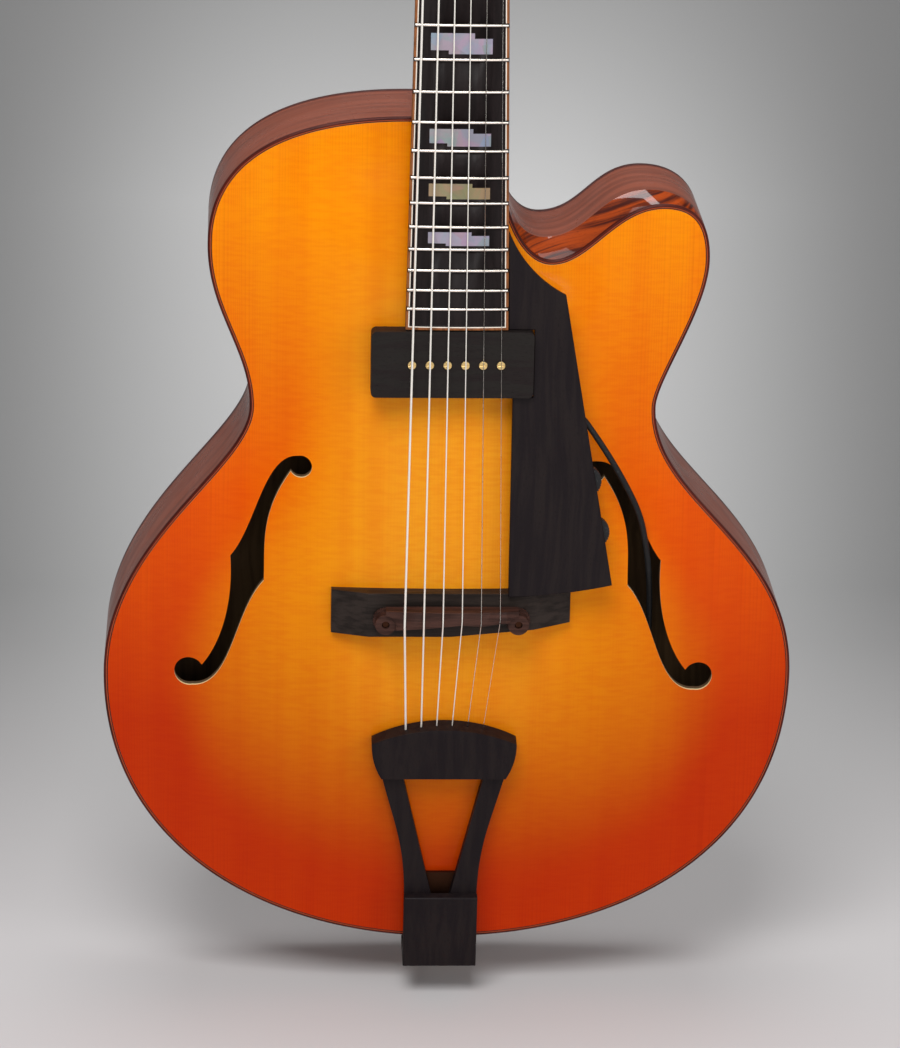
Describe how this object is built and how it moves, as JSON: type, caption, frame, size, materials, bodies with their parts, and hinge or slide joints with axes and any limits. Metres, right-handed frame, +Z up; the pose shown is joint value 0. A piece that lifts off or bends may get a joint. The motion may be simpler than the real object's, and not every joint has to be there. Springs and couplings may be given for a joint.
{
  "type": "archtop guitar",
  "caption": "Hollow-body archtop guitar with a rounded cutaway, f-holes, floating pickup and pickguard, adjustable bridge, harp-shaped tailpiece and turning tuning machines.",
  "frame": {"origin": "on the axis of the end jack, where the rim ends at the tail, half way through the rim", "axes": "+Z up the neck along the centre line, -Y out of the top, towards the audience, +X towards the treble side and the cutaway"},
  "size_m": [0.403, 0.1277, 1.0578],
  "materials": {
    "spruce": "clear gloss lacquer over an amber to red-orange sunburst",
    "rosewood": "clear gloss lacquer over dark streaked rosewood",
    "bridge_rosewood": "oiled, satin",
    "binding_wood": "gloss lacquer over red-brown wood with fine pale and dark lines",
    "inner_wood": "bare wood",
    "mahogany": "clear gloss lacquer",
    "ebony": "rubbed, satin",
    "pearl": "polished shell",
    "bone": "polished bone",
    "fret_metal": "polished nickel silver",
    "gold": "gold plated, polished",
    "steel": "bare steel",
    "string_metal": "bright wound and plain steel",
    "lead_rubber": "matt black jacket",
    "coil_plastic": "black former"
  },
  "bodies": {
    "body": {"top_plate": "spruce", "back_plate": "rosewood", "bass_side": "rosewood", "treble_side": "rosewood", "linings": "inner_wood", "neck_block": "inner_wood", "tail_block": "inner_wood", "tone_bars": "inner_wood", "top_binding": "binding_wood", "back_binding": "binding_wood", "end_jack": "gold", "jack_nut": "steel", "heel_button": "gold", "neck": "mahogany", "heel_cap": "ebony", "fingerboard": "ebony", "fingerboard_binding": "binding_wood", "position_inlays": "pearl", "frets": "fret_metal", "nut": "bone", "headstock_face": "ebony", "truss_rod": "steel", "truss_cover": "ebony", "cover_screws": "gold", "tuner_housings": "gold", "tuner_bushings": "gold", "tuner_screws": "gold", "wound_strings": "string_metal", "plain_strings": "string_metal", "bridge_base": "bridge_rosewood", "bridge_studs": "gold", "tailpiece": "ebony", "tailpiece_cover": "ebony", "tailpiece_bracket": "gold", "bracket_screws": "gold", "pickguard": "ebony", "guard_standoff": "ebony", "controls": "coil_plastic", "pickup_cover": "ebony", "pickup_coil": "coil_plastic", "pole_screws": "gold", "output_lead": "lead_rubber"},
    "key_1": {"tuner_key_1": "gold"},
    "post_1": {"tuner_post_1": "gold"},
    "key_2": {"tuner_key_2": "gold"},
    "post_2": {"tuner_post_2": "gold"},
    "key_3": {"tuner_key_3": "gold"},
    "post_3": {"tuner_post_3": "gold"},
    "key_4": {"tuner_key_4": "gold"},
    "post_4": {"tuner_post_4": "gold"},
    "key_5": {"tuner_key_5": "gold"},
    "post_5": {"tuner_post_5": "gold"},
    "key_6": {"tuner_key_6": "gold"},
    "post_6": {"tuner_post_6": "gold"},
    "truss_nut": {"truss_nut": "steel"},
    "saddle": {"bridge_saddle": "bridge_rosewood"},
    "bass_wheel": {"bass_thumbwheel": "bridge_rosewood"},
    "treble_wheel": {"treble_thumbwheel": "bridge_rosewood"},
    "volume_wheel": {"volume_wheel": "coil_plastic"},
    "tone_wheel": {"tone_wheel": "coil_plastic"}
  },
  "joints": [
    {"name": "key_1_turn", "type": "hinge", "parent": "body", "child": "key_1", "pos_m": [-0.02, 0.00887, 0.91206], "axis": [-1, 0, 0], "continuous": true},
    {"name": "post_1_turn", "type": "hinge", "parent": "body", "child": "post_1", "pos_m": [-0.02, -0.01225, 0.91158], "axis": [0, 0.9537, -0.3007], "continuous": true},
    {"name": "key_2_turn", "type": "hinge", "parent": "body", "child": "key_2", "pos_m": [-0.02, 0.0218, 0.95307], "axis": [-1, 0, 0], "continuous": true},
    {"name": "post_2_turn", "type": "hinge", "parent": "body", "child": "post_2", "pos_m": [-0.02, 0.00068, 0.95259], "axis": [0, 0.9537, -0.3007], "continuous": true},
    {"name": "key_3_turn", "type": "hinge", "parent": "body", "child": "key_3", "pos_m": [-0.02, 0.03473, 0.99408], "axis": [-1, 0, 0], "continuous": true},
    {"name": "post_3_turn", "type": "hinge", "parent": "body", "child": "post_3", "pos_m": [-0.02, 0.01362, 0.9936], "axis": [0, 0.9537, -0.3007], "continuous": true},
    {"name": "key_4_turn", "type": "hinge", "parent": "body", "child": "key_4", "pos_m": [0.02, 0.03473, 0.99408], "axis": [1, 0, 0], "continuous": true},
    {"name": "post_4_turn", "type": "hinge", "parent": "body", "child": "post_4", "pos_m": [0.02, 0.01362, 0.9936], "axis": [0, 0.9537, -0.3007], "continuous": true},
    {"name": "key_5_turn", "type": "hinge", "parent": "body", "child": "key_5", "pos_m": [0.02, 0.0218, 0.95307], "axis": [1, 0, 0], "continuous": true},
    {"name": "post_5_turn", "type": "hinge", "parent": "body", "child": "post_5", "pos_m": [0.02, 0.00068, 0.95259], "axis": [0, 0.9537, -0.3007], "continuous": true},
    {"name": "key_6_turn", "type": "hinge", "parent": "body", "child": "key_6", "pos_m": [0.02, 0.00887, 0.91206], "axis": [1, 0, 0], "continuous": true},
    {"name": "post_6_turn", "type": "hinge", "parent": "body", "child": "post_6", "pos_m": [0.02, -0.01225, 0.91158], "axis": [0, 0.9537, -0.3007], "continuous": true},
    {"name": "truss_nut_turn", "type": "hinge", "parent": "body", "child": "truss_nut", "pos_m": [0, -0.01942, 0.87429], "axis": [0, 0.061, 0.9981], "range_deg": [-360, 360]},
    {"name": "saddle_lift", "type": "slide", "parent": "body", "child": "saddle", "axis": [0, -1, 0], "range_m": [-0.0014, 0.0014], "deforming": ["wound_strings", "plain_strings"]},
    {"name": "bass_wheel_turn", "type": "hinge", "parent": "saddle", "child": "bass_wheel", "pos_m": [-0.0383, -0.0635, 0.21322], "axis": [0, -1, 0], "range_deg": [-720, 720]},
    {"name": "treble_wheel_turn", "type": "hinge", "parent": "saddle", "child": "treble_wheel", "pos_m": [0.0383, -0.0635, 0.21322], "axis": [0, -1, 0], "range_deg": [-720, 720]},
    {"name": "volume_turn", "type": "hinge", "parent": "body", "child": "volume_wheel", "pos_m": [0.07536, -0.05611, 0.29575], "axis": [0, -0.9992, 0.0407], "range_deg": [-150, 150]},
    {"name": "tone_turn", "type": "hinge", "parent": "body", "child": "tone_wheel", "pos_m": [0.08078, -0.05735, 0.26528], "axis": [0, -0.9992, 0.0407], "range_deg": [-150, 150]}
  ],
  "couplings": [
    {"joint": "post_1_turn", "follows": "key_1_turn", "ratio": 0.071429},
    {"joint": "post_2_turn", "follows": "key_2_turn", "ratio": 0.071429},
    {"joint": "post_3_turn", "follows": "key_3_turn", "ratio": 0.071429},
    {"joint": "post_4_turn", "follows": "key_4_turn", "ratio": 0.071429},
    {"joint": "post_5_turn", "follows": "key_5_turn", "ratio": 0.071429},
    {"joint": "post_6_turn", "follows": "key_6_turn", "ratio": 0.071429},
    {"joint": "bass_wheel_turn", "follows": "saddle_lift", "rad_per_m": 8975.9},
    {"joint": "treble_wheel_turn", "follows": "saddle_lift", "rad_per_m": 8975.9}
  ]
}
